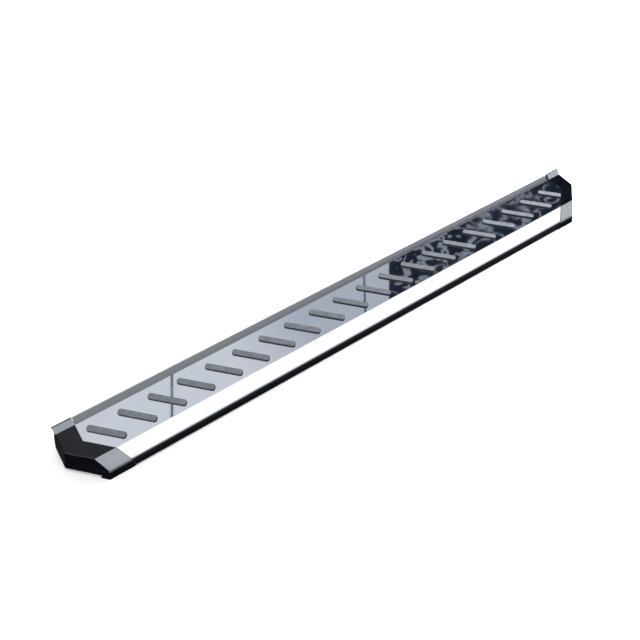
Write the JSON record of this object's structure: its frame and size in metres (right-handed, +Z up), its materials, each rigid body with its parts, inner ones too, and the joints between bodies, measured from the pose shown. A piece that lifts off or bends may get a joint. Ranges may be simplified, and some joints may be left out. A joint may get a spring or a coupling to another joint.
{
  "type": "running board",
  "caption": "Long bevelled running board: polished tread with slanted rubber pads, rear rail, front skirt, moulded end caps and T-bolts that slide in slots underneath.",
  "frame": {"origin": "centre of the board's outline at the level of the end caps' feet, which is the bottom of the part", "axes": "+X along the board to its right-hand end, -Y towards the bevelled front away from the vehicle, +Z up out of the tread"},
  "size_m": [2.0306, 0.1874, 0.0894],
  "materials": {
    "mirror_steel": "mirror polished",
    "tread_rubber": "fine-grained matt",
    "extrusion_aluminium": "mill finish",
    "rail_aluminium": "satin anodised",
    "edging_rubber": "matt",
    "skirt_plastic": "fine-grained satin",
    "gloss_black": "gloss",
    "satin_silver": "satin silver",
    "zinc_steel": "zinc plated"
  },
  "bodies": {
    "board": {"frame_extrusion": "extrusion_aluminium", "top_plate": "mirror_steel", "tread_pad_01": "tread_rubber", "tread_pad_02": "tread_rubber", "tread_pad_03": "tread_rubber", "tread_pad_04": "tread_rubber", "tread_pad_05": "tread_rubber", "tread_pad_06": "tread_rubber", "tread_pad_07": "tread_rubber", "tread_pad_08": "tread_rubber", "tread_pad_09": "tread_rubber", "tread_pad_10": "tread_rubber", "tread_pad_11": "tread_rubber", "tread_pad_12": "tread_rubber", "tread_pad_13": "tread_rubber", "tread_pad_14": "tread_rubber", "tread_pad_15": "tread_rubber", "tread_pad_16": "tread_rubber", "tread_pad_17": "tread_rubber", "tread_pad_18": "tread_rubber", "tread_pad_19": "tread_rubber", "tread_pad_20": "tread_rubber", "rear_rail": "rail_aluminium", "rear_edge_strip": "edging_rubber", "front_skirt": "skirt_plastic", "rail_rivets": "zinc_steel", "skirt_rivets": "zinc_steel", "end_cap_left": "gloss_black", "end_cap_right": "gloss_black", "bevel_insert_left": "satin_silver", "bevel_insert_right": "satin_silver", "rear_lip_left": "satin_silver", "rear_lip_right": "satin_silver", "lip_edge_strip_left": "edging_rubber", "lip_edge_strip_right": "edging_rubber", "cap_screws_left": "zinc_steel", "cap_screws_right": "zinc_steel"},
    "t_bolt_left_front_slider": {"t_bolt_left_front": "zinc_steel"},
    "t_bolt_left_rear_slider": {"t_bolt_left_rear": "zinc_steel"},
    "t_bolt_middle_front_slider": {"t_bolt_middle_front": "zinc_steel"},
    "t_bolt_middle_rear_slider": {"t_bolt_middle_rear": "zinc_steel"},
    "t_bolt_right_front_slider": {"t_bolt_right_front": "zinc_steel"},
    "t_bolt_right_rear_slider": {"t_bolt_right_rear": "zinc_steel"}
  },
  "joints": [
    {"name": "t_bolt_left_front_slide", "type": "slide", "parent": "board", "child": "t_bolt_left_front_slider", "axis": [1, 0, 0], "range_m": [-0.23, 0.23]},
    {"name": "t_bolt_left_rear_slide", "type": "slide", "parent": "board", "child": "t_bolt_left_rear_slider", "axis": [1, 0, 0], "range_m": [-0.23, 0.23]},
    {"name": "t_bolt_middle_front_slide", "type": "slide", "parent": "board", "child": "t_bolt_middle_front_slider", "axis": [1, 0, 0], "range_m": [-0.23, 0.23]},
    {"name": "t_bolt_middle_rear_slide", "type": "slide", "parent": "board", "child": "t_bolt_middle_rear_slider", "axis": [1, 0, 0], "range_m": [-0.23, 0.23]},
    {"name": "t_bolt_right_front_slide", "type": "slide", "parent": "board", "child": "t_bolt_right_front_slider", "axis": [1, 0, 0], "range_m": [-0.23, 0.23]},
    {"name": "t_bolt_right_rear_slide", "type": "slide", "parent": "board", "child": "t_bolt_right_rear_slider", "axis": [1, 0, 0], "range_m": [-0.23, 0.23]}
  ]
}
